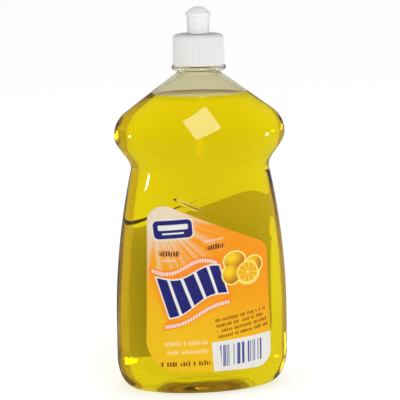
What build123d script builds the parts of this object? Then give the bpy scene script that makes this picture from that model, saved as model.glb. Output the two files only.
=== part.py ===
# A filled oval dish soap bottle with two film labels and a screw-on push-pull cap.
# Millimetres. +Z is up, the front label faces -Y, and the origin is on the floor
# under the middle of the bottle.
from build123d import *
from math import cos, pi, radians, sin, sqrt, tan
import os

os.makedirs("parts", exist_ok=True)

# Body, outside
belly_width = 107.6
body_depth = 61.8
belly_height = 43.0        # the sides draw in above this height
waist_width = 85.7
waist_height = 138.0
bulge_width = 106.4
bulge_height = 158.5
bulge_ease = 0.95          # below 1, the sides swell sooner above the waist
shoulder_radius = 17.5
shoulder_slope = 36.0      # degrees from level
crown_height = 150.0       # the front and back lean in above this height
root_depth = 28.4          # depth of the body where the neck's flare starts

# Heel and base
heel_height = 20.0
heel_inset = 11.0          # how far the heel draws in at each side
heel_inset_front = 6.2
land = 5.0                 # width of the flat ring that the bottle stands on
push_up = 5.0
push_up_top = 0.45         # top of the push-up as a share of its foot
base_wall = 0.9

# Shaping of the curved wall
section_gap = 0.5          # the least height between two of its sections
slope_step = 0.05          # height over which its slope is measured

# Walls
wall = 0.55
soap_gap = 0.1
fill_height = 183.0

# Grip scoops, one front and one back
scoop_depth = 1.2
scoop_left = -34.0
scoop_right = 46.0
ledge_height = 112.8       # height of the ledge at the middle of the bottle
ledge_angle = 24.5         # degrees, falling to the right
ledge_corner = 16.0
scoop_floor_top = 134.0    # the scoop's floor starts to rise here
scoop_top = 153.0          # and meets the wall here
scoop_side = 0.8           # the scoop's floor is this much wider at each side
scoop_flare = 1.6          # how far past that height its floor keeps on rising

# Film labels
label_gap = 0.06
label_film = 0.1
label_half_low = 39.4      # half its width at the foot
label_half_high = 36.8     # and at the top, where the bottle is narrower
label_bottom = 14.7
label_to_ledge = 5.0       # height of bare wall between the label and the ledge at the middle
label_angle = 22.6         # degrees, falling to the right
label_corner_low_left = 20.0
label_corner_low_right = 10.0
label_corner_high_right = 9.0
label_corner_high_left = 10.0

# Neck finish
neck_width = 25.2
neck_bore = 21.2
neck_flare = 3.0
neck_length = 19.2         # from the flare's top to the rim
bead_width = 33.4
bead_height = 2.8
bead_round = 0.35          # edge radius as a share of its height
thread_width = 27.6        # over the crests
thread_lead = 4.23
thread_turns = 1.5
thread_base = 2.3          # height of the ridge where it leaves the wall
thread_crest = 1.2
thread_drop = 6.0          # from the rim down to the middle of the last turn
thread_clearance = 0.3     # between a ridge and the wall that it faces
sink = 0.2                 # how far a ridge's root lies in the wall that carries it

# Screw cap
cap_wall = 1.8             # skirt's thickness at its lower edge, ribs included
cap_taper = 0.9            # degrees
cap_height = 18.4
cap_plate = 1.4
cap_corner = 3.4
cap_ribs = 96
rib_depth = 0.3
rim_gap = 0.5              # from the bead up to the cap
washer = 0.8
washer_bore = 12.0
washer_clearance = 0.3

# Spout and the chimney that it slides on
chimney_width = 10.0
chimney_bore = 7.6
chimney_height = 9.0
snap_bead = 0.3            # how far the chimney's bead stands out
snap_height = 1.2
spout_clearance = 0.2
spout_travel = 5.0
spout_wall = 1.2
spout_lift = 0.5           # gap under the spout when it is closed
flange_width = 15.4
flange_height = 1.6
flange_round = 0.3         # edge radius as a share of its height
flange_lead = 0.6          # height of the slope that leads out to the flange
nose_height = 3.3
nose_bulge = 0.25
catch_depth = 0.15         # how far the spout's inner lip reaches under the chimney's bead
catch_lip = 0.4
spout_height = 16.0
waist_spout = 14.0          # width of the tube just under the flange
spout_tip = 5.2
post_width = 3.0
post_clearance = 0.25
orifice_land = 1.6
web = 1.0                  # thickness of the three ribs that hold the post
web_height = 2.4
post_ribs = 3

# Heights that follow from the sizes above
neck_radius = neck_width / 2
shoulder_turn = radians(90 - shoulder_slope)
shoulder_run = 1 / tan(radians(shoulder_slope))    # sideways for each mm of height
arc_top = bulge_height + shoulder_radius * sin(shoulder_turn)
arc_half = bulge_width / 2 - shoulder_radius * (1 - cos(shoulder_turn))
root_half = neck_radius + neck_flare * shoulder_run / 2
root_height = arc_top + (arc_half - root_half) / shoulder_run
neck_base = root_height + neck_flare
rim_height = neck_base + neck_length
crown_span = (root_height - crown_height) / sqrt(1 - (root_depth / body_depth) ** 2)
cap_top = rim_height + washer + cap_plate
cap_base = cap_top - cap_height
bead_top = cap_base - rim_gap
thread_low = rim_height - thread_drop - thread_lead * thread_turns
spout_base = cap_top + spout_lift
spout_top = spout_base + spout_height
spout_bore = chimney_width / 2 + snap_bead + spout_clearance
snap_top = cap_top + chimney_height
cap_bore = thread_width + 2 * thread_clearance
cap_width = cap_bore + 2 * cap_wall
catch_radius = chimney_width / 2 + snap_bead - catch_depth
catch_top = snap_top - snap_height - spout_travel - spout_clearance


def half_width(z):
    """Half the outside width of the body at height z."""
    if z < heel_height:
        drop = (heel_height - z) / heel_height
        return belly_width / 2 - heel_inset * (1 - sqrt(1 - drop ** 2))
    if z < belly_height:
        return belly_width / 2
    if z < waist_height:
        part = (z - belly_height) / (waist_height - belly_height)
        return belly_width / 2 - (belly_width - waist_width) / 2 * part ** 2
    if z < bulge_height:
        part = ((z - waist_height) / (bulge_height - waist_height)) ** bulge_ease
        return waist_width / 2 + (bulge_width - waist_width) / 4 * (1 - cos(pi * part))
    if z < arc_top:
        rise = (z - bulge_height) / shoulder_radius
        return bulge_width / 2 - shoulder_radius * (1 - sqrt(1 - rise ** 2))
    if z < root_height:
        return arc_half - (z - arc_top) * shoulder_run
    left = max(neck_base - z, 0) / neck_flare
    return neck_radius + (root_half - neck_radius) * left ** 2


def half_depth(z):
    """Half the outside depth of the body at height z."""
    if z < heel_height:
        drop = (heel_height - z) / heel_height
        return body_depth / 2 - heel_inset_front * (1 - sqrt(1 - drop ** 2))
    if z < crown_height:
        return body_depth / 2
    if z < root_height:
        return body_depth / 2 * sqrt(1 - ((z - crown_height) / crown_span) ** 2)
    left = max(neck_base - z, 0) / neck_flare
    return neck_radius + (root_depth / 2 - neck_radius) * left ** 2


def inset(size, z, depth):
    """A half size of the surface that lies the given depth under the outside."""
    if depth <= 0:
        return size(z) - depth
    slope = (size(z + slope_step) - size(z - slope_step)) / (2 * slope_step)
    lean = sqrt(1 + slope ** 2)
    neck_share = min(max((z - arc_top) / (neck_base - arc_top), 0), 1) ** 2
    thickness = depth + neck_share * ((neck_width - neck_bore) / 2 - wall)
    return size(z) - thickness * (lean + (1 - lean) * neck_share)


def section_heights(low):
    """Heights of the body's sections, closer together where the wall curves hard."""
    heel = [heel_height * (1 - cos(pi / 2 * i / 6)) for i in range(1, 7)]
    belly = [(heel_height + belly_height) / 2]
    sides = [belly_height + (waist_height - belly_height) * sin(pi / 2 * i / 9) for i in range(9)]
    grip = [waist_height + (bulge_height - waist_height) * i / 6 for i in range(6)]
    arc = [bulge_height + shoulder_radius * sin(shoulder_turn * i / 5) for i in range(5)]
    slope = [arc_top + (root_height - arc_top) * i / 4 for i in range(4)]
    flare = [root_height + neck_flare * i / 3 for i in range(4)]
    rows = heel + belly + sides + grip + arc + slope + flare
    return [low] + [z for z in rows if z > low + section_gap]


def oval(half_x, half_y, z):
    """A flat oval at height z."""
    return Pos(0, 0, z) * Ellipse(half_x, half_y)


def ledge_at(x):
    """Height of the slanted ledge above the floor, x from the middle of the bottle."""
    return ledge_height - x * tan(radians(ledge_angle))


def scoop_outline(grow):
    """Front outline of a grip scoop: a slanted ledge below, a rounded corner at the left."""
    drop = grow / cos(radians(ledge_angle))
    left = scoop_left - grow
    right = scoop_right + grow
    top = scoop_top + shoulder_radius / 2
    low_left = (left, ledge_at(left) - drop)
    low_right = (right, ledge_at(right) - drop)
    face = make_face(Polyline((left, top), low_left, low_right, (right, top), close=True))
    corner = face.vertices().group_by(Axis.X)[0].sort_by(Axis.Y)[0]
    return Plane.XZ * fillet(corner, ledge_corner + grow)


def body_loft(depth, low):
    """The plain body whose surface lies the given depth under the outside."""
    return loft([
        oval(inset(half_width, z, depth), inset(half_depth, z, depth), z)
        for z in section_heights(low)
    ])


def scoop_floor(depth, low):
    """The body that the scoops are cut down to: narrower from front to back, up to their top."""
    sections = []
    for z in section_heights(low):
        part = max(z - scoop_floor_top, 0) / (scoop_top - scoop_floor_top)
        half_x = inset(half_width, z, depth) + scoop_side
        half_y = inset(half_depth, z, depth) - scoop_depth * (1 - min(part, scoop_flare) ** 2)
        sections.append(oval(half_x, half_y, z))
    return loft(sections)


def body_solid(depth, low):
    """The closed body with its scoops, the given depth under the outside."""
    front = extrude(scoop_outline(depth), amount=body_depth) - scoop_floor(depth, low)
    return body_loft(depth, low) - front - Rot(0, 0, 180) * front


def push_up_solid(grow):
    """The hollow under the base, made larger all round by the given amount."""
    foot_x = belly_width / 2 - heel_inset - land + grow
    foot_y = body_depth / 2 - heel_inset_front - land + grow
    sections = [oval(foot_x, foot_y, -push_up)]
    for i in range(9):
        share = 1 - (1 - push_up_top) * i / 8
        height = push_up * (1 - cos(pi * i / 8)) / 2
        sections.append(oval(foot_x * share, foot_y * share, height + grow))
    return loft(sections)


def cavity_solid(gap):
    """The space inside the walls, less a gap."""
    return body_solid(wall + gap, base_wall + gap) - push_up_solid(base_wall + gap)


def rod(width, low, high):
    """A round bar on the bottle's axis."""
    return Pos(0, 0, (low + high) / 2) * Cylinder(width / 2, high - low)


def thread_ridge(root, crest, base_height, crest_height, low):
    """A helical ridge from its root radius to its crest radius."""
    path = Helix(pitch=thread_lead, height=thread_lead * thread_turns, radius=root)
    outline = Plane.XZ * make_face(Polyline(
        (root, -base_height / 2),
        (crest, -crest_height / 2),
        (crest, crest_height / 2),
        (root, base_height / 2),
        close=True,
    ))
    return Pos(0, 0, low) * sweep(outline, path=path, is_frenet=True)


def bottle():
    """The blown body with its neck finish."""
    bead = rod(bead_width, bead_top - bead_height, bead_top)
    bead = fillet(bead.edges().filter_by(GeomType.CIRCLE), bead_height * bead_round)
    thread = thread_ridge(neck_radius - sink, thread_width / 2, thread_base, thread_crest, thread_low)
    finish = rod(neck_width, neck_base, rim_height) + bead + thread
    solid = body_solid(0, 0) + finish
    solid -= cavity_solid(0)
    solid -= rod(neck_bore, neck_base, rim_height)
    return solid - push_up_solid(0)


def dish_soap():
    """The soap, up to its level."""
    below = Pos(0, 0, fill_height / 2) * Box(2 * belly_width, 2 * body_depth, fill_height)
    return cavity_solid(soap_gap) & below


def label():
    """The front film label, whose top follows the ledge above it."""
    middle = ledge_height - label_to_ledge
    fall = label_half_high * tan(radians(label_angle))
    corners = [
        (-label_half_low, label_bottom),
        (label_half_low, label_bottom),
        (label_half_high, middle - fall),
        (-label_half_high, middle + fall),
    ]
    outline = make_face(Polyline(*corners, close=True))
    radii = [
        label_corner_low_left, label_corner_low_right,
        label_corner_high_right, label_corner_high_left,
    ]
    for place, radius in zip(corners, radii):
        corner = min(outline.vertices(), key=lambda v: (v.center() - Vector(*place)).length)
        outline = fillet(corner, radius)
    block = extrude(Plane.XZ * outline, amount=body_depth)
    return block & (body_loft(-label_gap - label_film, 0) - body_loft(-label_gap, 0))


def ribbed_skirt():
    """The outside of the cap: a tapered round block with fine upright ribs."""
    points = []
    for i in range(2 * cap_ribs):
        radius = cap_width / 2 - rib_depth * (i % 2)
        angle = pi * i / cap_ribs
        points.append((radius * cos(angle), radius * sin(angle)))
    block = extrude(make_face(Polyline(*points, close=True)), amount=cap_height, taper=cap_taper)
    crown = rod(cap_width, cap_base, cap_top)
    crown = fillet(crown.edges().group_by(Axis.Z)[-1], cap_corner)
    return Pos(0, 0, cap_base) * block & crown


def chimney():
    """The tube that the spout slides on, with its snap bead and the post in its mouth."""
    plate = cap_top - cap_plate
    tube = rod(chimney_width, plate, snap_top)
    snap = rod(chimney_width + 2 * snap_bead, snap_top - snap_height, snap_top)
    snap = chamfer(snap.edges().group_by(Axis.Z)[-1], snap_bead)
    solid = tube + snap - rod(chimney_bore, plate, snap_top)
    for i in range(post_ribs):
        rib = Box(chimney_bore / 2 + sink, web, web_height)
        rib = Pos(chimney_bore / 4, 0, snap_top - web_height / 2) * rib
        solid += Rot(0, 0, 360 * i / post_ribs) * rib
    return solid + rod(post_width, snap_top - web_height, spout_top)


def screw_cap():
    """The cap, threaded inside."""
    solid = ribbed_skirt() - rod(cap_bore, cap_base, cap_top - cap_plate)
    solid -= rod(chimney_bore, cap_base, cap_top)
    thread = thread_ridge(
        cap_bore / 2 + sink, neck_radius + thread_clearance, thread_base, thread_crest,
        thread_low - thread_lead / 2,
    )
    return solid + thread + chimney()


def sealing_washer():
    """The flat foam ring between the rim and the cap."""
    ring = rod(cap_bore - 2 * washer_clearance, rim_height, rim_height + washer)
    return ring - rod(washer_bore, rim_height, rim_height + washer)


def pull_spout():
    """The push-pull spout: a flanged tube with a nose that the post shuts."""
    flange_top = spout_top - nose_height
    flange_low = flange_top - flange_height
    foot = spout_bore + spout_wall
    nose = [(waist_spout / 2, flange_top), (spout_tip / 2, spout_top)]
    ceiling = snap_top + spout_clearance
    orifice = post_width / 2 + post_clearance
    lines = Polyline(
        nose[1],
        (orifice, spout_top),
        (orifice, spout_top - orifice_land),
        (spout_bore, ceiling),
        (spout_bore, catch_top + catch_lip),
        (catch_radius, catch_top),
        (catch_radius, spout_base),
        (foot, spout_base),
        (waist_spout / 2, flange_low - flange_lead),
        (flange_width / 2, flange_low),
        (flange_width / 2, flange_top),
        nose[0],
    )
    middle = (sum(x for x, z in nose) / 2 + nose_bulge, sum(z for x, z in nose) / 2 + nose_bulge)
    outline = make_face(lines + ThreePointArc(nose[0], middle, nose[1]))
    solid = revolve(Plane.XZ * outline, Axis.Z)
    rounds = solid.edges().filter_by(GeomType.CIRCLE)
    edges = rounds.filter_by(lambda edge: edge.radius > waist_spout / 2 + flange_lead / 2)
    return fillet(edges, flange_height * flange_round)


front_label = label()
export_step(bottle(), "parts/bottle.step")
export_step(dish_soap(), "parts/dish_soap.step")
export_step(front_label, "parts/front_label.step")
export_step(Rot(0, 0, 180) * front_label, "parts/back_label.step")
export_step(screw_cap(), "parts/screw_cap.step")
export_step(sealing_washer(), "parts/sealing_washer.step")
export_step(pull_spout(), "parts/pull_spout.step")
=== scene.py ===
"""The dish soap bottle: its clear wall, soap, printed labels and white closure."""
from math import cos, hypot, pi, radians, sin, sqrt, tan

import bmesh
import bpy
from mathutils import Matrix, Quaternion, Vector


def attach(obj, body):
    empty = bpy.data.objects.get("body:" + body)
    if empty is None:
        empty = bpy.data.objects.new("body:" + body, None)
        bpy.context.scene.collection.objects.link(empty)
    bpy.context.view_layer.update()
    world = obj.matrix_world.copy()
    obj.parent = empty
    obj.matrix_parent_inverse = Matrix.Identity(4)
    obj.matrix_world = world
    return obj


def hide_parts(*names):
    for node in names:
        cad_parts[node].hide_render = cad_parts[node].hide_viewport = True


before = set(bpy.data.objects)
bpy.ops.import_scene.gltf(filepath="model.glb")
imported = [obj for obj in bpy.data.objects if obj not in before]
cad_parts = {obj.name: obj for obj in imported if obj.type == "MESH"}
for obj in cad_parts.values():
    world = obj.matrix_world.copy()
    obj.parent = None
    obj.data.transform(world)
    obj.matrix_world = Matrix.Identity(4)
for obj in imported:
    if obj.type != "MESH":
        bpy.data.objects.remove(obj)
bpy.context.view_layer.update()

MM = 0.001

# Sizes of the blown bottle, in millimetres
BELLY_HALF = 53.8
BODY_HALF_DEPTH = 30.9
BELLY_TOP = 43.0
WAIST_HALF = 42.85
WAIST_TOP = 138.0
BULGE_HALF = 53.2
BULGE_HEIGHT = 158.5
BULGE_EASE = 0.95          # below 1, the sides swell sooner above the waist
SHOULDER_RADIUS = 17.5
SHOULDER_SLOPE = radians(36)
CROWN_HEIGHT = 150.0
ROOT_HALF_DEPTH = 14.2
HEEL_HEIGHT = 20.0
HEEL_INSET = 11.0
HEEL_INSET_FRONT = 6.2
LAND = 5.0
PUSH_UP = 5.0
PUSH_UP_TOP = 0.45
BASE_WALL = 0.9
WALL = 0.55
FILL_HEIGHT = 183.0
SCOOP_DEPTH = 1.2
SCOOP_LEFT = -34.0
SCOOP_FLOOR_TOP = 134.0
SCOOP_TOP = 153.0
SCOOP_SIDE = 0.8
SCOOP_FLARE = 1.6
LEDGE_HEIGHT = 112.8
LEDGE_FALL = tan(radians(24.5))
LEDGE_CORNER = 16.0
LEDGE_LIP = 2.8            # width of the rounded lip
NECK_RADIUS = 12.6
NECK_FLARE = 3.0
BORE_RADIUS = 10.6
NECK_LENGTH = 19.2
BEAD_RADIUS = 16.7
BEAD_HEIGHT = 2.8
BEAD_TOP = 200.9
THREAD_RADIUS = 13.8
THREAD_LEAD = 4.23
SOAP_OVERLAP = 0.12        # how far the soap's mesh reaches into the wall, so that no air lies between
MENISCUS = 0.9

SHOULDER_TURN = pi / 2 - SHOULDER_SLOPE
SHOULDER_RUN = 1 / tan(SHOULDER_SLOPE)
ARC_TOP = BULGE_HEIGHT + SHOULDER_RADIUS * sin(SHOULDER_TURN)
ARC_HALF = BULGE_HALF - SHOULDER_RADIUS * (1 - cos(SHOULDER_TURN))
ROOT_HALF = NECK_RADIUS + NECK_FLARE * SHOULDER_RUN / 2
ROOT_HEIGHT = ARC_TOP + (ARC_HALF - ROOT_HALF) / SHOULDER_RUN
NECK_BASE = ROOT_HEIGHT + NECK_FLARE
RIM_HEIGHT = NECK_BASE + NECK_LENGTH
CROWN_SPAN = (ROOT_HEIGHT - CROWN_HEIGHT) / sqrt(1 - (ROOT_HALF_DEPTH / BODY_HALF_DEPTH) ** 2)

COLUMNS = 288              # mesh columns round the bottle


# --- the bottle's surface ---------------------------------------------------------

def heel(half, draw_in, z):
    """A half size within the rounded heel."""
    drop = (HEEL_HEIGHT - z) / HEEL_HEIGHT
    return half - draw_in * (1 - sqrt(1 - drop ** 2))


def half_width(z):
    """Half the outside width of the body at height z."""
    if z < HEEL_HEIGHT:
        return heel(BELLY_HALF, HEEL_INSET, z)
    if z < BELLY_TOP:
        return BELLY_HALF
    if z < WAIST_TOP:
        part = (z - BELLY_TOP) / (WAIST_TOP - BELLY_TOP)
        return BELLY_HALF - (BELLY_HALF - WAIST_HALF) * part ** 2
    if z < BULGE_HEIGHT:
        part = ((z - WAIST_TOP) / (BULGE_HEIGHT - WAIST_TOP)) ** BULGE_EASE
        return WAIST_HALF + (BULGE_HALF - WAIST_HALF) / 2 * (1 - cos(pi * part))
    if z < ARC_TOP:
        rise = (z - BULGE_HEIGHT) / SHOULDER_RADIUS
        return BULGE_HALF - SHOULDER_RADIUS * (1 - sqrt(1 - rise ** 2))
    if z < ROOT_HEIGHT:
        return ARC_HALF - (z - ARC_TOP) * SHOULDER_RUN
    left = max(NECK_BASE - z, 0) / NECK_FLARE
    return NECK_RADIUS + (ROOT_HALF - NECK_RADIUS) * left ** 2


def half_depth(z):
    """Half the outside depth of the body at height z."""
    if z < HEEL_HEIGHT:
        return heel(BODY_HALF_DEPTH, HEEL_INSET_FRONT, z)
    if z < CROWN_HEIGHT:
        return BODY_HALF_DEPTH
    if z < ROOT_HEIGHT:
        return BODY_HALF_DEPTH * sqrt(1 - ((z - CROWN_HEIGHT) / CROWN_SPAN) ** 2)
    left = max(NECK_BASE - z, 0) / NECK_FLARE
    return NECK_RADIUS + (ROOT_HALF_DEPTH - NECK_RADIUS) * left ** 2


def inset(size, z, depth):
    """A half size of the surface that lies the given depth under the outside."""
    if depth == 0:
        return size(z)
    step = 0.4
    low = max(z - step, 0.3)
    slope = (size(z + step) - size(low)) / (z + step - low)
    lean = sqrt(1 + slope ** 2)
    neck_share = min(max((z - ARC_TOP) / (NECK_BASE - ARC_TOP), 0), 1) ** 2
    thickness = depth + neck_share * (NECK_RADIUS - BORE_RADIUS - WALL)
    return size(z) - thickness * (lean + (1 - lean) * neck_share)


def scoop_share(x, z, depth):
    """How fully a point of the wall lies inside a grip scoop's outline, from 0 to 1."""
    from_ledge = (z - LEDGE_HEIGHT + x * LEDGE_FALL) / hypot(1, LEDGE_FALL) + depth
    from_left = x - SCOOP_LEFT + depth
    inside = min(from_ledge, from_left)
    corner = LEDGE_CORNER * 0.75
    if from_ledge < corner and from_left < corner:
        inside = corner - hypot(corner - from_ledge, corner - from_left)
    share = min(max(inside / LEDGE_LIP + 0.5, 0), 1)
    return share * share * (3 - 2 * share)


def wall_point(turn, z, depth):
    """A point of the body's wall, the given depth under the outside."""
    half_x = inset(half_width, z, depth)
    half_y = inset(half_depth, z, depth)
    x = half_x * cos(turn)
    y = half_y * sin(turn)
    side = -1 if y < 0 else 1
    share = scoop_share(-side * x, z, depth)
    part = max(z - SCOOP_FLOOR_TOP, 0) / (SCOOP_TOP - SCOOP_FLOOR_TOP)
    sink = SCOOP_DEPTH * (1 - min(part, SCOOP_FLARE) ** 2)
    if share > 0:
        across = 1 - (x / (half_x + SCOOP_SIDE)) ** 2
        cut = abs(y) - (half_y - sink) * sqrt(max(across, 0))
        y -= side * share * (cut + hypot(cut, 0.12)) / 2
    return Vector((x, y, z))


def slanted(turn, z, depth):
    """Height of a mesh row at this turn: near the ledges the rows run along them."""
    if z < 62 or z > 158:
        return z
    span = LEDGE_HEIGHT - 62 if z < LEDGE_HEIGHT else 158 - LEDGE_HEIGHT
    near = 1 - abs(z - LEDGE_HEIGHT) / span
    near = near * near * (3 - 2 * near)
    facing = min(max(-sin(turn) / 0.5, -1), 1)
    facing = 1.5 * facing - 0.5 * facing ** 3
    return z - LEDGE_FALL * near * facing * half_width(z) * cos(turn)


def steps(low, high, count):
    """Evenly spaced values after low, up to high."""
    return [low + (high - low) * i / count for i in range(1, count + 1)]


def wall_heights():
    """Heights of the mesh rows of the body, from its foot to its neck."""
    rows = [HEEL_HEIGHT * (1 - cos(pi / 2 * i / 14)) for i in range(15)]
    rows += steps(HEEL_HEIGHT, 62, 12)
    rows += steps(62, LEDGE_HEIGHT - LEDGE_LIP, 20)
    rows += steps(LEDGE_HEIGHT - LEDGE_LIP, LEDGE_HEIGHT + LEDGE_LIP, 18)
    rows += steps(LEDGE_HEIGHT + LEDGE_LIP, 158, 26)
    rows += steps(158, ROOT_HEIGHT, 26)
    return rows + steps(ROOT_HEIGHT, NECK_BASE, 5)


def wall_rows(depth, low=0.0, high=1000.0):
    """The body's rows between two heights, each a function of the turn."""
    heights = [z for z in wall_heights() if low < z < high - 0.2]
    if low > 0:
        heights = [low] + heights
    if high < 1000:
        heights.append(high)
    return [lambda turn, z=z: wall_point(turn, slanted(turn, z, depth), depth) for z in heights]


def oval_row(half_x, half_y, z):
    """A level row."""
    return lambda turn: Vector((half_x * cos(turn), half_y * sin(turn), z))


def push_up_rows(grow):
    """The hollow under the base, from its middle outwards."""
    foot_x = BELLY_HALF - HEEL_INSET - LAND + grow
    foot_y = BODY_HALF_DEPTH - HEEL_INSET_FRONT - LAND + grow
    rows = [oval_row(0, 0, PUSH_UP + grow), oval_row(foot_x * 0.2, foot_y * 0.2, PUSH_UP + grow)]
    for i in range(16, -1, -1):
        share = 1 - (1 - PUSH_UP_TOP) * i / 16
        rows.append(oval_row(foot_x * share, foot_y * share, PUSH_UP * (1 - cos(pi * i / 16)) / 2 + grow))
    return rows


def shell_from_rows(name, rows, wet_from=None):
    """A closed mesh: a grid with one row of points for each given row, wrapped round the axis.

    Faces from row wet_from onwards take the second finish.
    """
    bm = bmesh.new()
    bmesh.ops.create_grid(bm, x_segments=COLUMNS, y_segments=len(rows) - 1, size=1)
    for face in bm.faces:
        row = (face.calc_center_median().y + 1) / 2 * (len(rows) - 1)
        face.material_index = 1 if wet_from is not None and row > wet_from else 0
    for vert in bm.verts:
        turn = pi * vert.co.x
        row = rows[round((vert.co.y + 1) / 2 * (len(rows) - 1))]
        vert.co = row(turn) * MM
    bmesh.ops.remove_doubles(bm, verts=bm.verts, dist=1e-6)
    bmesh.ops.recalc_face_normals(bm, faces=bm.faces)
    return finished(name, bm)


def finished(name, bm):
    """A smooth-shaded object at the origin from a bmesh."""
    mesh = bpy.data.meshes.new(name)
    bm.to_mesh(mesh)
    bm.free()
    mesh.shade_smooth()
    piece = bpy.data.objects.new(name, mesh)
    bpy.context.scene.collection.objects.link(piece)
    return piece


def neck_rows():
    """The neck finish outside, from the flare to the rim, and back down its bore."""
    low = BEAD_TOP - BEAD_HEIGHT
    profile = [
        (NECK_RADIUS + 0.1, low), (BEAD_RADIUS - 1.2, low), (BEAD_RADIUS - 0.5, low + 0.2),
        (BEAD_RADIUS - 0.1, low + 0.7), (BEAD_RADIUS, low + 1.4), (BEAD_RADIUS - 0.1, low + 2.1),
        (BEAD_RADIUS - 0.5, low + 2.6), (BEAD_RADIUS - 1.2, BEAD_TOP), (NECK_RADIUS + 0.2, BEAD_TOP),
        (NECK_RADIUS, BEAD_TOP + 0.2), (NECK_RADIUS, RIM_HEIGHT - 0.4), (NECK_RADIUS - 0.1, RIM_HEIGHT - 0.1),
        (NECK_RADIUS - 0.4, RIM_HEIGHT), (BORE_RADIUS + 0.4, RIM_HEIGHT),
        (BORE_RADIUS + 0.1, RIM_HEIGHT - 0.1), (BORE_RADIUS, RIM_HEIGHT - 0.4), (BORE_RADIUS, NECK_BASE + 8),
    ]
    return [oval_row(radius, radius, z) for radius, z in profile]


def make_bottle():
    """The blown bottle as one closed wall, outside and in."""
    outside = push_up_rows(0) + wall_rows(0, 0, 1000)[:-2]
    dry = list(reversed(wall_rows(WALL, FILL_HEIGHT)))
    wet = list(reversed(wall_rows(WALL, BASE_WALL, FILL_HEIGHT))) + list(reversed(push_up_rows(BASE_WALL)))
    above = outside + neck_rows() + dry[:-1]
    bottle = shell_from_rows("clear_bottle", above + wet, wet_from=len(above))
    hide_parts("bottle")
    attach(bottle, "bottle")
    return bottle


def make_neck_thread():
    """The helical ridge on the neck, hidden by the cap."""
    bm = bmesh.new()
    low = RIM_HEIGHT - 6.0 - THREAD_LEAD * 1.5
    corners = [(NECK_RADIUS - 0.2, -1.15), (THREAD_RADIUS, -0.6), (THREAD_RADIUS, 0.6), (NECK_RADIUS - 0.2, 1.15)]
    verts = [bm.verts.new(Vector((radius, 0, low + rise)) * MM) for radius, rise in corners]
    start = bm.faces.new(verts)
    count = 108
    bmesh.ops.spin(
        bm, geom=[start], axis=(0, 0, 1), cent=(0, 0, 0), angle=radians(540), steps=count,
        dvec=(0, 0, THREAD_LEAD * 1.5 * MM / count), use_duplicate=False,
    )
    if not start.is_valid or len(bm.faces) < count * 4 + 2:
        bm.verts.ensure_lookup_table()
        bm.faces.new([bm.verts[i] for i in range(4)])
    bmesh.ops.recalc_face_normals(bm, faces=bm.faces)
    thread = finished("neck_thread", bm)
    thread.data.shade_flat()
    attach(thread, "bottle")
    return thread


def make_soap():
    """The soap, pressed into the wall all round, with a surface that climbs at its edge."""
    depth = WALL - SOAP_OVERLAP
    floor = push_up_rows(BASE_WALL - SOAP_OVERLAP)
    walls = wall_rows(depth, BASE_WALL - SOAP_OVERLAP, FILL_HEIGHT + MENISCUS)
    top = []
    edge_x = inset(half_width, FILL_HEIGHT + MENISCUS, depth)
    edge_y = inset(half_depth, FILL_HEIGHT + MENISCUS, depth)
    for inward, drop in ((1.0, 0.35), (1.8, 0.6), (3.0, 0.8), (5.0, 0.9), (8.0, 0.9)):
        top.append(oval_row(edge_x - inward, edge_y - inward, FILL_HEIGHT + MENISCUS - drop))
    top.append(oval_row(0, 0, FILL_HEIGHT))
    soap = shell_from_rows("yellow_soap", floor + walls + top)
    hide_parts("dish_soap")
    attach(soap, "bottle")
    return soap


# --- node helpers -----------------------------------------------------------------

def socket(tree, value, target):
    """Joins a socket to an input, or sets the input to a plain value."""
    if isinstance(value, bpy.types.NodeSocket):
        tree.links.new(value, target)
    elif value is not None:
        target.default_value = value


def math_node(tree, operation, first, second=None, third=None, clamp=False):
    """One maths step."""
    node = tree.nodes.new("ShaderNodeMath")
    node.operation = operation
    node.use_clamp = clamp
    for value, target in zip((first, second, third), node.inputs):
        socket(tree, value, target)
    return node.outputs[0]


def smooth_range(tree, value, low, high):
    """0 below low, 1 above high, smooth between."""
    node = tree.nodes.new("ShaderNodeMapRange")
    node.interpolation_type = "SMOOTHSTEP"
    socket(tree, value, node.inputs["Value"])
    socket(tree, low, node.inputs["From Min"])
    socket(tree, high, node.inputs["From Max"])
    return node.outputs["Result"]


def mix_colour(tree, share, first, second, blend="MIX"):
    """One colour laid over another by a mask."""
    node = tree.nodes.new("ShaderNodeMix")
    node.data_type = "RGBA"
    node.blend_type = blend
    socket(tree, share, node.inputs[0])
    socket(tree, first, node.inputs[6])
    socket(tree, second, node.inputs[7])
    return node.outputs[2]


def noise(tree, place, scale, detail=2.0, roughness=0.5):
    """Cloudy noise at a scale per metre."""
    node = tree.nodes.new("ShaderNodeTexNoise")
    socket(tree, place, node.inputs["Vector"])
    node.inputs["Scale"].default_value = scale
    node.inputs["Detail"].default_value = detail
    node.inputs["Roughness"].default_value = roughness
    return node.outputs["Fac"]


def new_material(name):
    """A material with its Principled shader and Object coordinates."""
    material = bpy.data.materials.new(name)
    material.use_nodes = True
    tree = material.node_tree
    shader = tree.nodes["Principled BSDF"]
    place = tree.nodes.new("ShaderNodeTexCoord").outputs["Object"]
    return material, tree, shader, place


def new_group(name, inputs, outputs):
    """An empty node group with named values in and out."""
    tree = bpy.data.node_groups.new(name, "ShaderNodeTree")
    kinds = {"value": "NodeSocketFloat", "vector": "NodeSocketVector", "colour": "NodeSocketColor"}
    for label, kind, start in inputs:
        made = tree.interface.new_socket(label, in_out="INPUT", socket_type=kinds[kind])
        if start is not None:
            made.default_value = start
    for label, kind in outputs:
        tree.interface.new_socket(label, in_out="OUTPUT", socket_type=kinds[kind])
    source = tree.nodes.new("NodeGroupInput").outputs
    target = tree.nodes.new("NodeGroupOutput").inputs
    return tree, source, target


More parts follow.
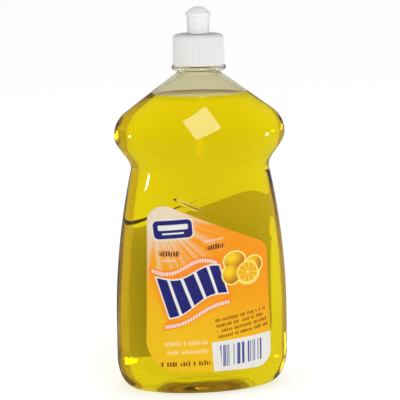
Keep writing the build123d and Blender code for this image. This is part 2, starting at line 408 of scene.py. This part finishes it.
def let_light_through(tree, shader):
    """Lets lamps and light scattered inside reach what lies behind a clear surface."""
    path = tree.nodes.new("ShaderNodeLightPath")
    clear = tree.nodes.new("ShaderNodeBsdfTransparent")
    mix = tree.nodes.new("ShaderNodeMixShader")
    passing = math_node(tree, "MAXIMUM", path.outputs["Is Shadow Ray"], path.outputs["Is Diffuse Ray"])
    tree.links.new(passing, mix.inputs[0])
    tree.links.new(shader.outputs[0], mix.inputs[1])
    tree.links.new(clear.outputs[0], mix.inputs[2])
    tree.links.new(mix.outputs[0], tree.nodes["Material Output"].inputs["Surface"])


def mirrored_rays(tree):
    """1 for a ray that last bounced off a glossy surface, not one that passed through it."""
    path = tree.nodes.new("ShaderNodeLightPath")
    return math_node(tree, "MULTIPLY", path.outputs["Is Glossy Ray"], path.outputs["Is Reflection Ray"])


def place_group(tree, group, **values):
    """Places a node group and sets its inputs by name."""
    node = tree.nodes.new("ShaderNodeGroup")
    node.node_tree = group
    for label, value in values.items():
        socket(tree, value, node.inputs[label.replace("_", " ")])
    return node.outputs[0]


def bump(tree, height, strength, distance):
    """A surface normal from a height."""
    node = tree.nodes.new("ShaderNodeBump")
    socket(tree, height, node.inputs["Height"])
    node.inputs["Strength"].default_value = strength
    node.inputs["Distance"].default_value = distance
    return node.outputs["Normal"]


# --- shared groups ----------------------------------------------------------------

def fine_grain_group():
    """Moulded surface: a fine grain over broad unevenness, as a height."""
    tree, source, target = new_group(
        "Fine Grain",
        [("Place", "vector", None), ("Grain Scale", "value", 2500.0), ("Broad Scale", "value", 120.0)],
        [("Height", "value")],
    )
    fine = tree.nodes.new("ShaderNodeTexNoise")
    broad = tree.nodes.new("ShaderNodeTexNoise")
    for node, scale in ((fine, source["Grain Scale"]), (broad, source["Broad Scale"])):
        tree.links.new(source["Place"], node.inputs["Vector"])
        tree.links.new(scale, node.inputs["Scale"])
    total = math_node(tree, "MULTIPLY_ADD", fine.outputs["Fac"], 0.35, broad.outputs["Fac"])
    tree.links.new(total, target["Height"])
    return tree


def patch_group():
    """A round-cornered patch on the label, as a mask. Sizes are in millimetres."""
    tree, source, target = new_group(
        "Patch",
        [
            ("Across", "value", 0.0), ("Up", "value", 0.0), ("Middle Across", "value", 0.0),
            ("Middle Up", "value", 0.0), ("Half Width", "value", 10.0), ("Half Height", "value", 5.0),
            ("Corner", "value", 1.0), ("Tilt", "value", 0.0), ("Edge", "value", 0.25),
        ],
        [("Mask", "value")],
    )
    x = math_node(tree, "SUBTRACT", source["Across"], source["Middle Across"])
    z = math_node(tree, "SUBTRACT", source["Up"], source["Middle Up"])
    c = math_node(tree, "COSINE", source["Tilt"])
    s = math_node(tree, "SINE", source["Tilt"])
    along = math_node(tree, "ADD", math_node(tree, "MULTIPLY", x, c), math_node(tree, "MULTIPLY", z, s))
    over = math_node(tree, "SUBTRACT", math_node(tree, "MULTIPLY", z, c), math_node(tree, "MULTIPLY", x, s))
    parts = []
    for value, half in ((along, source["Half Width"]), (over, source["Half Height"])):
        inner = math_node(tree, "SUBTRACT", half, source["Corner"])
        parts.append(math_node(tree, "SUBTRACT", math_node(tree, "ABSOLUTE", value), inner))
    outside = [math_node(tree, "MAXIMUM", part, 0.0) for part in parts]
    squares = [math_node(tree, "MULTIPLY", part, part) for part in outside]
    reach = math_node(tree, "SQRT", math_node(tree, "ADD", *squares))
    inside = math_node(tree, "MINIMUM", math_node(tree, "MAXIMUM", *parts), 0.0)
    distance = math_node(tree, "SUBTRACT", math_node(tree, "ADD", reach, inside), source["Corner"])
    share = math_node(tree, "DIVIDE", distance, source["Edge"])
    tree.links.new(math_node(tree, "SUBTRACT", 0.5, share, clamp=True), target["Mask"])
    return tree


def spot_group():
    """A tilted round spot, as a mask that also gives how far out a point lies."""
    tree, source, target = new_group(
        "Spot",
        [
            ("Across", "value", 0.0), ("Up", "value", 0.0), ("Middle Across", "value", 0.0),
            ("Middle Up", "value", 0.0), ("Half Width", "value", 5.0), ("Half Height", "value", 5.0),
            ("Tilt", "value", 0.0),
        ],
        [("Reach", "value")],
    )
    x = math_node(tree, "SUBTRACT", source["Across"], source["Middle Across"])
    z = math_node(tree, "SUBTRACT", source["Up"], source["Middle Up"])
    c = math_node(tree, "COSINE", source["Tilt"])
    s = math_node(tree, "SINE", source["Tilt"])
    along = math_node(tree, "ADD", math_node(tree, "MULTIPLY", x, c), math_node(tree, "MULTIPLY", z, s))
    over = math_node(tree, "SUBTRACT", math_node(tree, "MULTIPLY", z, c), math_node(tree, "MULTIPLY", x, s))
    along = math_node(tree, "DIVIDE", along, source["Half Width"])
    over = math_node(tree, "DIVIDE", over, source["Half Height"])
    squares = [math_node(tree, "MULTIPLY", part, part) for part in (along, over)]
    tree.links.new(math_node(tree, "SQRT", math_node(tree, "ADD", *squares)), target["Reach"])
    return tree


def wave_group():
    """A slanted, waving band between two ends, as a mask."""
    tree, source, target = new_group(
        "Wave Band",
        [
            ("Across", "value", 0.0), ("Up", "value", 0.0), ("Start", "value", -30.0),
            ("End", "value", 10.0), ("Height", "value", 60.0), ("Rise", "value", 0.3),
            ("Swing", "value", 2.0), ("Half Band", "value", 8.0), ("Lean", "value", 0.3),
            ("Blocks", "value", 1.0), ("Gap", "value", 0.0), ("Narrowing", "value", 0.0),
            ("Edge", "value", 0.3),
        ],
        [("Mask", "value")],
    )
    length = math_node(tree, "SUBTRACT", source["End"], source["Start"])
    part = math_node(tree, "DIVIDE", math_node(tree, "SUBTRACT", source["Across"], source["Start"]), length)
    from_start = math_node(tree, "SUBTRACT", source["Across"], source["Start"])
    wave = math_node(tree, "SINE", math_node(tree, "MULTIPLY", part, 2 * pi))
    middle = math_node(tree, "MULTIPLY_ADD", from_start, source["Rise"], source["Height"])
    middle = math_node(tree, "SUBTRACT", middle, math_node(tree, "MULTIPLY", wave, source["Swing"]))
    over = math_node(tree, "SUBTRACT", source["Up"], middle)
    leant = math_node(tree, "MULTIPLY_ADD", over, source["Lean"], source["Across"])
    past_start = math_node(tree, "SUBTRACT", source["Start"], leant)
    past_end = math_node(tree, "SUBTRACT", leant, source["End"])
    lost = math_node(tree, "MULTIPLY", part, source["Narrowing"])
    half_here = math_node(tree, "SUBTRACT", source["Half Band"], lost)
    beyond = math_node(tree, "SUBTRACT", math_node(tree, "ABSOLUTE", over), half_here)
    pitch = math_node(tree, "DIVIDE", length, source["Blocks"])
    cells = math_node(tree, "DIVIDE", math_node(tree, "SUBTRACT", leant, source["Start"]), pitch)
    from_middle = math_node(tree, "SUBTRACT", math_node(tree, "FRACT", cells), 0.5)
    into_gap = math_node(tree, "MULTIPLY", math_node(tree, "ABSOLUTE", from_middle), pitch)
    solid_half = math_node(tree, "MULTIPLY", math_node(tree, "SUBTRACT", pitch, source["Gap"]), 0.5)
    into_gap = math_node(tree, "SUBTRACT", into_gap, solid_half)
    distance = math_node(tree, "MAXIMUM", math_node(tree, "MAXIMUM", past_start, past_end), beyond)
    distance = math_node(tree, "MAXIMUM", distance, into_gap)
    share = math_node(tree, "DIVIDE", distance, source["Edge"])
    tree.links.new(math_node(tree, "SUBTRACT", 0.5, share, clamp=True), target["Mask"])
    return tree


def printed_lines_group():
    """Rows of short bars of uneven length, the plain stand-in for small print, as a mask."""
    tree, source, target = new_group(
        "Printed Lines",
        [
            ("Across", "value", 0.0), ("Up", "value", 0.0), ("Row Pitch", "value", 3.0),
            ("Bar Pitch", "value", 2.0), ("Row Height", "value", 0.55), ("Seed", "value", 0.0),
            ("Filled", "value", 0.84),
        ],
        [("Mask", "value")],
    )
    rows = math_node(tree, "DIVIDE", source["Up"], source["Row Pitch"])
    row = math_node(tree, "FLOOR", rows)
    within_row = math_node(tree, "SUBTRACT", rows, row)
    shifted = math_node(tree, "MULTIPLY_ADD", row, 0.37, math_node(tree, "DIVIDE", source["Across"], source["Bar Pitch"]))
    bar = math_node(tree, "FLOOR", shifted)
    within_bar = math_node(tree, "SUBTRACT", shifted, bar)
    cell = tree.nodes.new("ShaderNodeCombineXYZ")
    tree.links.new(bar, cell.inputs[0])
    tree.links.new(row, cell.inputs[1])
    tree.links.new(source["Seed"], cell.inputs[2])
    chance = tree.nodes.new("ShaderNodeTexWhiteNoise")
    chance.noise_dimensions = "3D"
    tree.links.new(cell.outputs[0], chance.inputs["Vector"])
    length = math_node(tree, "MULTIPLY_ADD", chance.outputs["Value"], 0.3, 0.5)
    between_words = math_node(tree, "GREATER_THAN", chance.outputs["Value"], source["Filled"])
    length = math_node(tree, "MULTIPLY_ADD", between_words, -1.0, length)
    off_bar = math_node(tree, "SUBTRACT", within_bar, length)
    tall = math_node(tree, "FRACT", math_node(tree, "MULTIPLY", chance.outputs["Value"], 7.0))
    tall = math_node(tree, "MULTIPLY_ADD", tall, 0.3, 0.7)
    off_row = math_node(tree, "SUBTRACT", within_row, math_node(tree, "MULTIPLY", tall, source["Row Height"]))
    distance = math_node(tree, "MAXIMUM", off_bar, off_row)
    share = math_node(tree, "DIVIDE", distance, 0.16)
    tree.links.new(math_node(tree, "SUBTRACT", 0.5, share, clamp=True), target["Mask"])
    return tree


# --- finishes ---------------------------------------------------------------------

def clear_wall_finish(name, glint, soap_light_tint):
    """Clear glossy blown plastic, very slightly uneven. The glint is lost where soap wets it.

    The wall below the soap's level takes a painted tint of soap-yellow light, a little of the soap's own colour; the
    plastic itself is clear.
    """
    material, tree, shader, place = new_material(name)
    shader.inputs["Specular Tint"].default_value = (glint, glint, glint, 1)
    height = tree.nodes.new("ShaderNodeSeparateXYZ")
    tree.links.new(place, height.inputs[0])
    runs = tree.nodes.new("ShaderNodeMapping")
    runs.inputs["Scale"].default_value = (150, 150, 30)
    tree.links.new(place, runs.inputs["Vector"])
    wander = math_node(tree, "MULTIPLY_ADD", noise(tree, runs.outputs[0], 1.0), 0.004, height.outputs[2])
    above_soap = smooth_range(tree, wander, (FILL_HEIGHT - 0.5) * MM, (FILL_HEIGHT + 3) * MM)
    thinning = smooth_range(tree, wander, (NECK_BASE - 4) * MM, RIM_HEIGHT * MM)
    # above the soap's level the wall carries a soap film; its beige colour is a painted reflection of the soap,
    # fading out up the neck
    film = math_node(tree, "MULTIPLY", above_soap, math_node(tree, "SUBTRACT", 1.0, thinning))
    # below the soap's level: painted soap-yellow light, not a colour of the plastic
    bare = mix_colour(tree, above_soap, soap_light_tint, (0.985, 0.99, 0.985, 1))
    wall_colour = mix_colour(tree, film, bare, (0.80, 0.775, 0.60, 1))
    tree.links.new(wall_colour, shader.inputs["Base Color"])
    shader.inputs["Transmission Weight"].default_value = 1.0
    shader.inputs["IOR"].default_value = 1.5
    patches = noise(tree, place, 90.0, detail=3.0)
    rough = math_node(tree, "MULTIPLY_ADD", patches, 0.03, 0.005)
    tree.links.new(rough, shader.inputs["Roughness"])
    stretch = tree.nodes.new("ShaderNodeMapping")
    stretch.inputs["Scale"].default_value = (60, 60, 14)
    tree.links.new(place, stretch.inputs["Vector"])
    ripple = noise(tree, stretch.outputs[0], 1.0, detail=1.0)
    tree.links.new(bump(tree, ripple, 0.25, 0.0006), shader.inputs["Normal"])
    let_light_through(tree, shader)
    return material


def soap_finish():
    """Clear yellow liquid that deepens with its depth."""
    material, tree, shader, place = new_material("Yellow Soap")
    shader.inputs["Transmission Weight"].default_value = 1.0
    shader.inputs["IOR"].default_value = 1.36
    shader.inputs["Roughness"].default_value = 0.0
    shader.inputs["Specular Tint"].default_value = (0, 0, 0, 1)
    faint = noise(tree, place, 30.0)
    tint = mix_colour(tree, faint, (0.99, 0.99, 0.50, 1), (0.99, 0.985, 0.45, 1))
    tree.links.new(tint, shader.inputs["Base Color"])
    depth = tree.nodes.new("ShaderNodeVolumeAbsorption")
    depth.inputs["Color"].default_value = (0.9775, 0.965, 0.0, 1)
    depth.inputs["Density"].default_value = 203.0
    tree.links.new(depth.outputs[0], tree.nodes["Material Output"].inputs["Volume"])
    let_light_through(tree, shader)
    return material


def white_plastic_finish(name, tone):
    """Moulded white plastic with a soft sheen, a little clear in thin places."""
    material, tree, shader, place = new_material(name)
    cloud = noise(tree, place, 160.0, detail=3.0)
    colour = mix_colour(tree, cloud, (tone, tone, tone * 0.99, 1), (tone * 0.96, tone * 0.97, tone * 0.97, 1))
    tree.links.new(colour, shader.inputs["Base Color"])
    grain = place_group(tree, GRAIN, Place=place, Grain_Scale=3000.0, Broad_Scale=200.0)
    tree.links.new(math_node(tree, "MULTIPLY_ADD", grain, 0.12, 0.26), shader.inputs["Roughness"])
    shader.inputs["Subsurface Weight"].default_value = 0.25
    shader.inputs["Subsurface Radius"].default_value = (1, 1, 1)
    shader.inputs["Subsurface Scale"].default_value = 0.0015
    tree.links.new(bump(tree, grain, 0.15, 0.0001), shader.inputs["Normal"])
    return material


def foam_finish():
    """Foamed sheet."""
    material, tree, shader, place = new_material("Washer Foam")
    cells = tree.nodes.new("ShaderNodeTexVoronoi")
    tree.links.new(place, cells.inputs["Vector"])
    cells.inputs["Scale"].default_value = 2500.0
    colour = mix_colour(tree, cells.outputs["Distance"], (0.7, 0.7, 0.68, 1), (0.85, 0.85, 0.83, 1))
    tree.links.new(colour, shader.inputs["Base Color"])
    shader.inputs["Roughness"].default_value = 0.8
    tree.links.new(bump(tree, cells.outputs["Distance"], 0.4, 0.0002), shader.inputs["Normal"])
    return material


ORANGE = (0.84, 0.27, 0.002, 1)
GOLD = (0.80, 0.46, 0.002, 1)
CREAM = (0.70, 0.60, 0.47, 1)
NAVY = (0.001, 0.007, 0.16, 1)
PAPER = (0.71, 0.71, 0.71, 1)
BROWN = (0.12, 0.02, 0.002, 1)
HALO = (0.90, 0.19, 0.006, 1)
STOCK = (0.95, 0.95, 0.93, 1)   # the film's own white, seen through the soap


class Print:
    """A label's artwork, built up as layers of colour over its ground."""

    def __init__(self, tree, place, face):
        self.tree = tree
        parts = tree.nodes.new("ShaderNodeSeparateXYZ")
        tree.links.new(place, parts.inputs[0])
        self.across = math_node(tree, "MULTIPLY", parts.outputs[0], face / MM)
        self.up = math_node(tree, "MULTIPLY", parts.outputs[2], 1 / MM)
        self.colour = None

    def lay(self, mask, colour, strength=1.0):
        """Lays a colour over what is there."""
        if strength != 1.0:
            mask = math_node(self.tree, "MULTIPLY", mask, strength)
        self.colour = mix_colour(self.tree, mask, self.colour, colour)

    def patch(self, x, z, half_x, half_z, corner=0.5, tilt=0.0, edge=0.3):
        """The mask of a round-cornered patch."""
        return place_group(
            self.tree, PATCH, Across=self.across, Up=self.up, Middle_Across=x, Middle_Up=z,
            Half_Width=half_x, Half_Height=half_z, Corner=corner, Tilt=radians(tilt), Edge=edge,
        )

    def spot(self, x, z, half_x, half_z, tilt=0.0):
        """How far out of a round spot a point lies: 1 at its edge."""
        return place_group(
            self.tree, SPOT, Across=self.across, Up=self.up, Middle_Across=x, Middle_Up=z,
            Half_Width=half_x, Half_Height=half_z, Tilt=radians(tilt),
        )

    def disc(self, *spot, edge=0.06, **more):
        """The mask of a round spot."""
        reach = self.spot(*spot, **more)
        return math_node(self.tree, "SUBTRACT", 1.0, smooth_range(self.tree, reach, 1 - edge, 1 + edge))

    def wave(self, start, end, height, rise, swing, half_band, lean, blocks=1, gap=-1,
             narrowing=0, edge=0.3):
        """The mask of a waving band, whole or cut into blocks."""
        return place_group(
            self.tree, WAVE, Across=self.across, Up=self.up, Start=start, End=end, Height=height,
            Rise=rise, Swing=swing, Half_Band=half_band, Lean=lean, Blocks=blocks, Gap=gap,
            Narrowing=narrowing, Edge=edge,
        )

    def lines(self, region, row_pitch, bar_pitch, tilt=0.0, row_height=0.55, seed=0.0, filled=0.86):
        """The mask of printed lines within a patch given as (x, z, half width, half height)."""
        x, z, half_x, half_z = region
        slope = tan(radians(tilt))
        level = math_node(self.tree, "MULTIPLY_ADD", self.across, -slope, self.up)
        base = z - half_z - x * slope
        level = math_node(self.tree, "SUBTRACT", level, base)
        rows = place_group(
            self.tree, LINES, Across=self.across, Up=level, Row_Pitch=row_pitch,
            Bar_Pitch=bar_pitch, Row_Height=row_height, Seed=seed, Filled=filled,
        )
        return math_node(self.tree, "MULTIPLY", rows, self.patch(x, z, half_x, half_z, 0.2, tilt, 0.2))


def print_ground(art):
    """Orange at the top right, gold at the foot, and a cream glow at the top left with rays."""
    tree = art.tree
    fade = smooth_range(tree, math_node(tree, "MULTIPLY_ADD", art.across, 0.35, art.up), 20.0, 95.0)
    art.colour = mix_colour(tree, fade, GOLD, ORANGE)
    x = math_node(tree, "SUBTRACT", art.across, -33.0)
    z = math_node(tree, "SUBTRACT", 114.0, art.up)
    angle = math_node(tree, "ARCTAN2", z, x)
    reach = math_node(tree, "SQRT", math_node(tree, "ADD", math_node(tree, "MULTIPLY", x, x), math_node(tree, "MULTIPLY", z, z)))
    spokes = tree.nodes.new("ShaderNodeTexNoise")
    spokes.noise_dimensions = "1D"
    tree.links.new(angle, spokes.inputs["W"])
    spokes.inputs["Scale"].default_value = 9.0
    spokes.inputs["Detail"].default_value = 1.5
    ray = smooth_range(tree, spokes.outputs["Fac"], 0.42, 0.62)
    far = math_node(tree, "SUBTRACT", 1.0, smooth_range(tree, reach, 22.0, 52.0))
    art.lay(math_node(tree, "MULTIPLY", ray, far), CREAM, 0.55)
    glow = math_node(tree, "SUBTRACT", 1.0, smooth_range(tree, reach, 8.0, 30.0))
    art.lay(glow, CREAM)


def print_lemons(art):
    """Two whole lemons and a cut one in front, in a pale outline."""
    tree = art.tree
    whole = ((15.0, 83.5, 6.6, 5.2, 12), (13.2, 75.2, 5.6, 6.2, -25))
    back = (27.6, 80.0, 5.4, 5.0, 0)
    slice_at = (23.6, 75.6, 7.4, 7.0, 0)
    for x, z, half_x, half_z, tilt in whole + (back, slice_at):
        art.lay(art.disc(x, z, half_x + 0.9, half_z + 0.9, tilt, edge=0.04), (0.92, 0.68, 0.22, 1))
    for x, z, half_x, half_z, tilt in whole + (back,):
        reach = art.spot(x, z, half_x, half_z, tilt)
        light = art.spot(x - 1.8, z + 1.8, half_x, half_z, tilt)
        skin = mix_colour(tree, smooth_range(tree, light, 0.1, 1.3), (0.88, 0.56, 0.01, 1), (0.48, 0.17, 0.004, 1))
        mask = math_node(tree, "SUBTRACT", 1.0, smooth_range(tree, reach, 0.96, 1.02))
        art.lay(mask, skin)
    x, z, half_x, half_z, tilt = slice_at
    reach = art.spot(x, z, half_x, half_z, tilt)
    art.lay(math_node(tree, "SUBTRACT", 1.0, smooth_range(tree, reach, 0.96, 1.02)), (0.92, 0.64, 0.12, 1))
    angle = math_node(
        tree, "ARCTAN2", math_node(tree, "SUBTRACT", art.up, z), math_node(tree, "SUBTRACT", art.across, x)
    )
    spokes = math_node(tree, "ABSOLUTE", math_node(tree, "SINE", math_node(tree, "MULTIPLY", angle, 4.5)))
    flesh = math_node(tree, "SUBTRACT", 1.0, smooth_range(tree, reach, 0.82, 0.86))
    segment = math_node(tree, "MULTIPLY", smooth_range(tree, spokes, 0.12, 0.3), smooth_range(tree, reach, 0.1, 0.16))
    art.lay(math_node(tree, "MULTIPLY", flesh, segment), (0.78, 0.38, 0.008, 1))


def print_bars(art, left, right, low, high, tilt):
    """Upright bars of uneven width on a white panel: no readable code."""
    tree = art.tree
    cell = math_node(tree, "FLOOR", math_node(tree, "DIVIDE", art.across, 0.55))
    chance = tree.nodes.new("ShaderNodeTexWhiteNoise")
    chance.noise_dimensions = "1D"
    tree.links.new(cell, chance.inputs["W"])
    dark = smooth_range(tree, chance.outputs["Value"], 0.44, 0.5)
    middle = (left + right) / 2
    inside = art.patch(middle, (low + high) / 2, (right - left) / 2, (high - low) / 2, 0.1, tilt, 0.2)
    art.lay(math_node(tree, "MULTIPLY", dark, inside), (0.06, 0.08, 0.32, 1))


def front_print(art):
    """The front label's artwork."""
    print_ground(art)
    # a plain badge with a pale bar and a thin line, where a maker's mark would stand
    art.lay(art.patch(-22.4, 104.2, 12.2, 6.4, 3.2, 5, edge=1.2), PAPER, 0.8)
    art.lay(art.patch(-22.4, 104.2, 11.4, 5.6, 2.8, 5), NAVY)
    art.lay(art.patch(-22.4, 105.4, 8.8, 1.6, 0.8, 5), PAPER)
    art.lay(art.patch(-22.4, 101.6, 6.4, 0.5, 0.4, 5), PAPER)
    # two short words
    art.lay(art.lines((-25.0, 89.4, 6.0, 1.9), 4.2, 1.5, row_height=0.8, seed=11.0, filled=2), BROWN)
    art.lay(art.lines((-25.0, 85.0, 4.2, 0.9), 2.0, 1.1, row_height=0.8, seed=12.0, filled=2), PAPER, 0.5)
    art.lay(art.lines((3.0, 93.4, 5.6, 1.9), 4.2, 1.4, 8, 0.8, seed=13.0, filled=2), BROWN)
    art.lay(art.lines((2.0, 97.4, 6.0, 0.9), 2.0, 1.1, 8, 0.8, seed=14.0, filled=2), PAPER, 0.55)
    # the waving banner of five slanted blocks, between its two ribbons
    art.lay(art.wave(-31.0, 9.6, 61.3, 0.29, 2.4, 16.0, 0.31, narrowing=4, edge=5.0), HALO, 0.85)
    art.lay(art.wave(-36.2, 4.8, 78.4, 0.11, 3.0, 2.2, 0.0, edge=1.2), HALO, 0.9)
    art.lay(art.wave(-28.8, 12.4, 43.4, 0.37, 1.6, 2.2, 0.0, edge=1.2), HALO, 0.9)
    art.lay(art.wave(-29.6, 8.6, 61.3, 0.287, 2.4, 13.0, 0.31, 1, -1, 3.9), PAPER)
    art.lay(art.wave(-29.6, 8.6, 61.3, 0.287, 2.4, 12.1, 0.31, 5, 1.7, 3.9), NAVY)
    art.lay(art.wave(-35.4, 4.0, 78.4, 0.11, 3.0, 1.1, 0.0, 24, 0.45), PAPER, 0.85)
    art.lay(art.wave(-28.0, 11.6, 43.4, 0.37, 1.6, 1.1, 0.0, 24, 0.45), PAPER, 0.85)
    print_lemons(art)
    # small print as plain marks
    art.lay(art.lines((19.5, 44.4, 16.5, 6.6), 3.5, 1.15, 9, 0.62, seed=3.0), BROWN, 0.9)
    art.lay(art.lines((-15.5, 31.6, 13.0, 5.2), 5.4, 1.5, 2, 0.5, seed=4.0), (0.93, 0.62, 0.36, 1), 0.85)
    art.lay(art.lines((-16.0, 20.6, 15.0, 1.8), 3.7, 1.6, 2, 0.85, seed=5.0), BROWN)
    # the white panel at the foot
    art.lay(art.patch(24.0, 23.0, 23.2, 12.0, 0.3, 4.5, edge=0.3), PAPER)
    print_bars(art, 5.6, 33.5, 18.6, 32.0, 4.5)


def back_print(art):
    """The back label's artwork: the same ground, a pale text panel and plain bars."""
    print_ground(art)
    art.lay(art.wave(-34.0, 33.0, 78.0, 0.12, 2.4, 5.6, -0.2), PAPER)
    art.lay(art.wave(-33.2, 32.2, 78.1, 0.12, 2.4, 4.8, -0.2), NAVY)
    art.lay(art.patch(0.0, 50.0, 32.0, 17.5, 2.0, 0, 0.4), (0.93, 0.82, 0.6, 1))
    art.lay(art.lines((0.0, 50.0, 29.0, 15.0), 2.6, 3.4, 0, 0.5, seed=7.0), BROWN, 0.85)
    art.lay(art.lines((0.0, 25.0, 24.0, 4.2), 3.2, 4.4, 0, 0.5, seed=8.0), BROWN, 0.8)


def label_finish(name, face, artwork):
    """Glossy printed film. The face is 1 for the front and -1 for the back."""
    material, tree, shader, place = new_material(name)
    art = Print(tree, place, face)
    artwork(art)
    speck = noise(tree, place, 900.0, detail=2.0)
    colour = mix_colour(tree, math_node(tree, "MULTIPLY", speck, 0.05), art.colour, (0.5, 0.3, 0.05, 1))
    facing = tree.nodes.new("ShaderNodeSeparateXYZ")
    tree.links.new(tree.nodes["Texture Coordinate"].outputs["Normal"], facing.inputs[0])
    inner = math_node(tree, "GREATER_THAN", math_node(tree, "MULTIPLY", facing.outputs[1], face), 0.05)
    colour = mix_colour(tree, inner, colour, STOCK)
    tree.links.new(colour, shader.inputs["Base Color"])
    grain = place_group(tree, GRAIN, Place=place, Grain_Scale=1800.0, Broad_Scale=60.0)
    tree.links.new(math_node(tree, "MULTIPLY_ADD", grain, 0.1, 0.24), shader.inputs["Roughness"])
    tree.links.new(bump(tree, grain, 0.12, 0.00015), shader.inputs["Normal"])
    shader.inputs["Specular IOR Level"].default_value = 0.25
    shader.inputs["Subsurface Weight"].default_value = 0.5
    shader.inputs["Subsurface Radius"].default_value = (1, 1, 1)
    shader.inputs["Subsurface Scale"].default_value = 0.0004
    return material


def floor_finish():
    """A plain pale floor."""
    material, tree, shader, place = new_material("Pale Floor")
    cloud = noise(tree, place, 6.0)
    colour = mix_colour(tree, cloud, (0.93, 0.93, 0.93, 1), (0.91, 0.91, 0.91, 1))
    tree.links.new(colour, shader.inputs["Base Color"])
    shader.inputs["Roughness"].default_value = 0.7
    shader.inputs["Emission Color"].default_value = (1, 1, 1, 1)
    shader.inputs["Emission Strength"].default_value = FLOOR_GLOW
    dark = tree.nodes.new("ShaderNodeEmission")
    spot = tree.nodes.new("ShaderNodeSeparateXYZ")
    tree.links.new(place, spot.inputs[0])
    rear = smooth_range(tree, spot.outputs[1], -0.05, 0.15)
    socket(tree, math_node(tree, "MULTIPLY_ADD", rear, 0.1, FLOOR_MIRRORED), dark.inputs["Strength"])
    mix = tree.nodes.new("ShaderNodeMixShader")
    tree.links.new(mirrored_rays(tree), mix.inputs[0])
    tree.links.new(shader.outputs[0], mix.inputs[1])
    tree.links.new(dark.outputs[0], mix.inputs[2])
    tree.links.new(mix.outputs[0], tree.nodes["Material Output"].inputs["Surface"])
    return material


GRAIN = fine_grain_group()
PATCH = patch_group()
SPOT = spot_group()
WAVE = wave_group()
LINES = printed_lines_group()


def set_finish(piece, material):
    """Gives every slot of a piece one material."""
    if not piece.data.materials:
        piece.data.materials.append(material)
    for index in range(len(piece.data.materials)):
        piece.data.materials[index] = material


# --- the object -------------------------------------------------------------------

# the last argument is the outer wall's painted soap-yellow light below the soap's level
clear = clear_wall_finish("Clear Blown Plastic", 1.0, (0.985, 0.885, 0.80, 1))
bottle_wall = make_bottle()
bottle_wall.data.materials.append(clear)
bottle_wall.data.materials.append(clear_wall_finish("Wetted Inner Wall", 0.0, (0.985, 0.99, 0.985, 1)))
set_finish(make_neck_thread(), clear)
set_finish(make_soap(), soap_finish())
set_finish(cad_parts["screw_cap"], white_plastic_finish("White Cap Plastic", 0.72))
set_finish(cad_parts["pull_spout"], white_plastic_finish("White Spout Plastic", 0.78))
set_finish(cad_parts["sealing_washer"], foam_finish())
set_finish(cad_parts["front_label"], label_finish("Front Label Film", 1, front_print))
set_finish(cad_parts["back_label"], label_finish("Back Label Film", -1, back_print))


# --- floor, light and camera ------------------------------------------------------

ROOM_LIGHT = 0.74          # how brightly the room lights things
FLOOR_GLOW = 0.36           # the floor's own light, as on a light table
ROOM_MIRRORED = 0.08       # and how bright it looks in their gloss
REAR_MIRRORED = 0.15       # the same for the wall behind them
FLOOR_MIRRORED = 0.16      # the floor's tone in their gloss

def make_floor():
    """A wide pale floor."""
    bm = bmesh.new()
    bmesh.ops.create_grid(bm, x_segments=1, y_segments=1, size=6)
    floor = finished("floor", bm)
    set_finish(floor, floor_finish())


def softbox(name, place, aim, width, height, power, roll=0):
    """A rectangular soft light that faces a point, turned about its own axis."""
    light = bpy.data.lights.new(name, "AREA")
    light.shape = "RECTANGLE"
    light.size = width
    light.size_y = height
    light.energy = power
    lamp = bpy.data.objects.new(name, light)
    lamp.location = place
    lamp.rotation_mode = "QUATERNION"
    facing = (Vector(aim) - Vector(place)).to_track_quat("-Z", "Y")
    lamp.rotation_quaternion = facing @ Quaternion((0, 0, 1), radians(roll))
    bpy.context.scene.collection.objects.link(lamp)


def make_world():
    """A white room: full white where it is seen, dimmer where it lights or is mirrored."""
    world = bpy.data.worlds.new("White Room")
    world.use_nodes = True
    tree = world.node_tree
    back = tree.nodes["Background"]
    ray = tree.nodes.new("ShaderNodeLightPath")
    seen = math_node(tree, "MAXIMUM", ray.outputs["Is Camera Ray"], ray.outputs["Is Transmission Ray"])
    way = tree.nodes.new("ShaderNodeSeparateXYZ")
    tree.links.new(tree.nodes.new("ShaderNodeTexCoord").outputs["Generated"], way.inputs[0])
    rear = smooth_range(tree, way.outputs[1], -0.3, 0.6)
    room = mix_colour(tree, rear, (ROOM_MIRRORED,) * 3 + (1,), (REAR_MIRRORED,) * 3 + (1,))
    lit = mix_colour(tree, mirrored_rays(tree), (ROOM_LIGHT,) * 3 + (1,), room)
    tree.links.new(mix_colour(tree, seen, lit, (1, 1, 1, 1)), back.inputs["Color"])
    world.cycles.sampling_method = "NONE"     # a lamp would miss what its gloss should show
    bpy.context.scene.world = world


def make_camera():
    """The camera, a little above the bottle and to its left."""
    camera = bpy.data.cameras.new("camera")
    camera.lens = 182.9
    camera.sensor_width = 36.0
    camera.shift_x = -0.0012
    camera.shift_y = -0.01375
    piece = bpy.data.objects.new("camera", camera)
    aim = Vector((0, 0, 0.120))
    turn = radians(-10.5)
    place = Vector((1.241 * sin(turn), -1.241 * cos(turn), 0.339))
    look = (aim - place).to_track_quat("-Z", "Y").to_matrix().to_4x4()
    piece.matrix_world = Matrix.Translation(place) @ look @ Matrix.Rotation(radians(-0.8), 4, "Z")
    bpy.context.scene.collection.objects.link(piece)
    bpy.context.scene.camera = piece


make_floor()
make_world()
make_camera()
softbox("key softbox", (0.14, -1.52, 0.70), (0, 0, 0.165), 0.67, 0.74, 7.9, roll=27)
softbox("left softbox", (-1.323, -0.256, 0.20), (0, 0, 0.16), 0.12, 0.09, 0.8)
softbox("right softbox", (1.272, -0.419, 0.12), (0, 0, 0.16), 0.12, 0.09, 0.8)
bpy.context.scene.view_settings.view_transform = "Standard"
bpy.context.scene.cycles.max_bounces = 32          # nested clear walls take many
bpy.context.scene.cycles.transmission_bounces = 32
bpy.context.scene.cycles.glossy_bounces = 12
